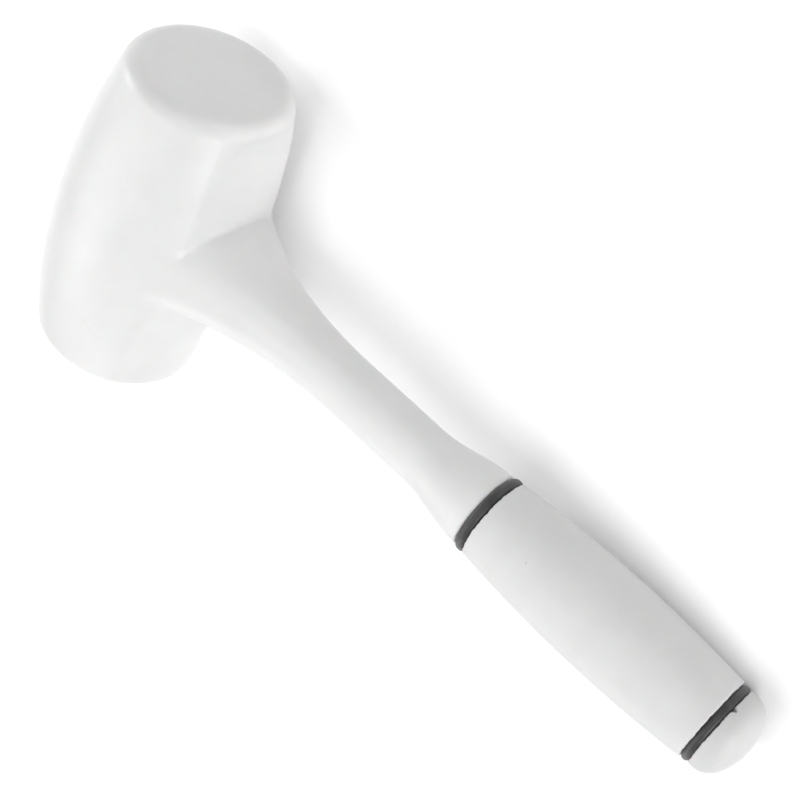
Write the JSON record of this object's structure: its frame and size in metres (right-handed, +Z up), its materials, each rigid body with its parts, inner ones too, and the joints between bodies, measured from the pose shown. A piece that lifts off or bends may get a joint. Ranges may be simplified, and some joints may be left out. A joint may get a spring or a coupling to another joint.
{
  "type": "reflex hammer",
  "caption": "Soft white percussion hammer with a crowned barrel head, flared neck, crowned grip between black rings and a screw-on domed end cap, lying down.",
  "frame": {"origin": "on the floor under the middle of the lying hammer's box", "axes": "+X runs from head to end cap (the handle slopes down along it by 4.67 degrees), +Y runs along the head towards its upper strike face, +Z is up"},
  "size_m": [0.2194, 0.0878, 0.0521],
  "materials": {
    "white_elastomer": "satin",
    "white_grip": "matte",
    "white_cap": "satin",
    "black_rubber": "matte",
    "black_nylon": "satin",
    "steel": "satin",
    "alloy_rod": "satin",
    "brass": "satin"
  },
  "bodies": {
    "hammer": {"head_cover": "white_elastomer", "grip_sleeve": "white_grip", "upper_seal_ring": "black_rubber", "weight_cushion_upper": "black_rubber", "weight_cushion_lower": "black_rubber", "core_cup_upper": "black_nylon", "core_cup_lower": "black_nylon", "rod_seal_bush": "black_nylon", "neck_collar": "black_nylon", "grip_core": "black_nylon", "head_weight": "steel", "rod_cross_pin": "steel", "collar_pin": "steel", "clamp_washer": "steel", "spring_washer": "steel", "tension_nut": "steel", "handle_rod": "alloy_rod", "thread_insert": "brass"},
    "ring": {"lower_seal_ring": "black_rubber"},
    "cap": {"cap_stud": "black_nylon", "end_cap": "white_cap"}
  },
  "joints": [
    {"name": "cap_travel", "type": "slide", "parent": "hammer", "child": "ring", "axis": [0.9967, 0, -0.0814], "range_m": [0, 0.0061]},
    {"name": "cap_turn", "type": "hinge", "parent": "ring", "child": "cap", "pos_m": [0.10118, -0.00115, 0.01095], "axis": [0.9967, 0, -0.0814], "range_deg": [0, 1440]}
  ],
  "couplings": [
    {"joint": "cap_travel", "follows": "cap_turn", "m_per_rad": 0.00023873}
  ]
}
